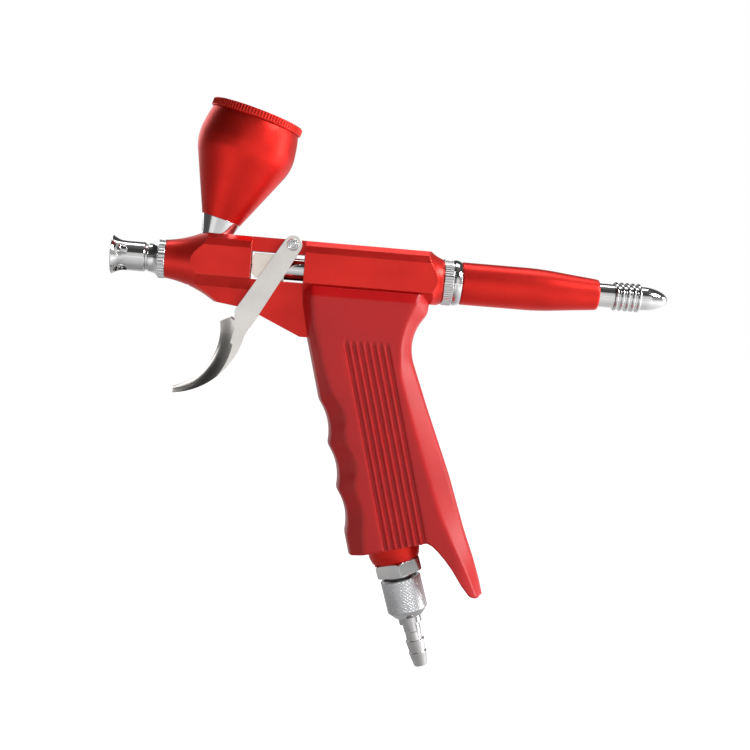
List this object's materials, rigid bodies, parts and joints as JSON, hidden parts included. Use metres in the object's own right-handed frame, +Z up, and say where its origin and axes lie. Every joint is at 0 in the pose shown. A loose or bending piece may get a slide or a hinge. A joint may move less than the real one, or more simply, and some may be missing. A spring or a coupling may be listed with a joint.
{
  "type": "airbrush gun",
  "caption": "Gravity-feed airbrush gun with a lidded paint cup, hinged trigger, sliding needle, needle-stop knob, pistol grip and quick-release hose coupling.",
  "frame": {"origin": "on the needle axis, in the plane of the needle cap's front rim", "axes": "+X runs back along the needle towards the needle-stop knob, +Z points up to the paint cup and Y = 0 is the mid-plane"},
  "size_m": [0.1702, 0.0294, 0.1686],
  "materials": {
    "red_anodised": "satin red anodised",
    "grip_moulding": "matte moulded",
    "nickel_plate": "bright nickel plate",
    "steel": "ground",
    "brass": "turned",
    "seal_rubber": "matte",
    "ptfe": "smooth",
    "spring_steel": "drawn wire"
  },
  "bodies": {
    "gun_body": {"needle_cap": "nickel_plate", "nozzle_cap": "nickel_plate", "fluid_nozzle": "brass", "nozzle_seal": "ptfe", "head_ring": "seal_rubber", "body": "red_anodised", "needle_packing": "ptfe", "packing_screw": "brass", "cup_neck": "nickel_plate", "cup": "red_anodised", "pivot_screws": "nickel_plate", "needle_spring": "spring_steel", "spring_retainer": "brass", "lock_ring": "nickel_plate", "tail_collar": "nickel_plate", "tail_handle": "red_anodised", "valve_seat": "brass", "valve_spring": "spring_steel", "valve_plug": "brass", "air_tube": "steel", "grip": "grip_moulding", "grip_ferrule": "red_anodised", "inlet_nut": "nickel_plate", "inlet_plug": "nickel_plate"},
    "lid": {"cup_lid": "red_anodised", "lid_seal": "seal_rubber"},
    "trigger": {"trigger": "nickel_plate", "drive_pins": "steel"},
    "needle_drive": {"needle": "steel", "needle_shuttle": "nickel_plate", "guide_tube": "nickel_plate", "chuck_nut": "brass"},
    "valve": {"valve_stem": "brass", "valve_seal": "seal_rubber"},
    "stop": {"stop_rod": "nickel_plate"},
    "knob": {"stop_knob": "nickel_plate"},
    "coupler": {"coupler_body": "nickel_plate", "lock_balls": "steel", "coupler_seal": "seal_rubber", "sleeve_spring": "spring_steel", "hose_barb": "nickel_plate"},
    "sleeve": {"coupler_sleeve": "nickel_plate", "sleeve_cap": "nickel_plate"}
  },
  "joints": [
    {"name": "trigger_pull", "type": "hinge", "parent": "gun_body", "child": "trigger", "pos_m": [0.05395, 0, 0.0072], "axis": [0, -1, 0], "range_deg": [0, 20], "stiffness_Nm_per_rad": 0.2, "springref_deg": -8.59},
    {"name": "needle_travel", "type": "slide", "parent": "gun_body", "child": "needle_drive", "axis": [1, 0, 0], "range_m": [0, 0.0027], "deforming": ["needle_spring"]},
    {"name": "valve_travel", "type": "slide", "parent": "gun_body", "child": "valve", "axis": [1, 0, 0], "range_m": [0, 0.0027], "deforming": ["valve_spring"]},
    {"name": "stop_travel", "type": "slide", "parent": "gun_body", "child": "stop", "axis": [1, 0, 0], "range_m": [-0.00075, 0.00225]},
    {"name": "knob_turn", "type": "hinge", "parent": "stop", "child": "knob", "pos_m": [0.1533, 0, 0], "axis": [1, 0, 0], "range_deg": [-450.5, 1350.5]},
    {"name": "lid_lift", "type": "slide", "parent": "gun_body", "child": "lid", "axis": [0.2622, 0, 0.965], "range_m": [0, 0.03]},
    {"name": "coupler_swivel", "type": "hinge", "parent": "gun_body", "child": "coupler", "pos_m": [0.09228, 0, -0.08338], "axis": [0.3074, 0, -0.9516], "continuous": true},
    {"name": "sleeve_release", "type": "slide", "parent": "coupler", "child": "sleeve", "axis": [0.3074, 0, -0.9516], "range_m": [0, 0.0015], "stiffness_N_per_m": 600, "springref_m": -0.002, "deforming": ["sleeve_spring"]}
  ],
  "couplings": [
    {"joint": "needle_travel", "follows": "trigger_pull", "m_per_rad": 0.00754},
    {"joint": "valve_travel", "follows": "trigger_pull", "m_per_rad": 0.00754},
    {"joint": "knob_turn", "follows": "stop_travel", "rad_per_m": 10472}
  ]
}
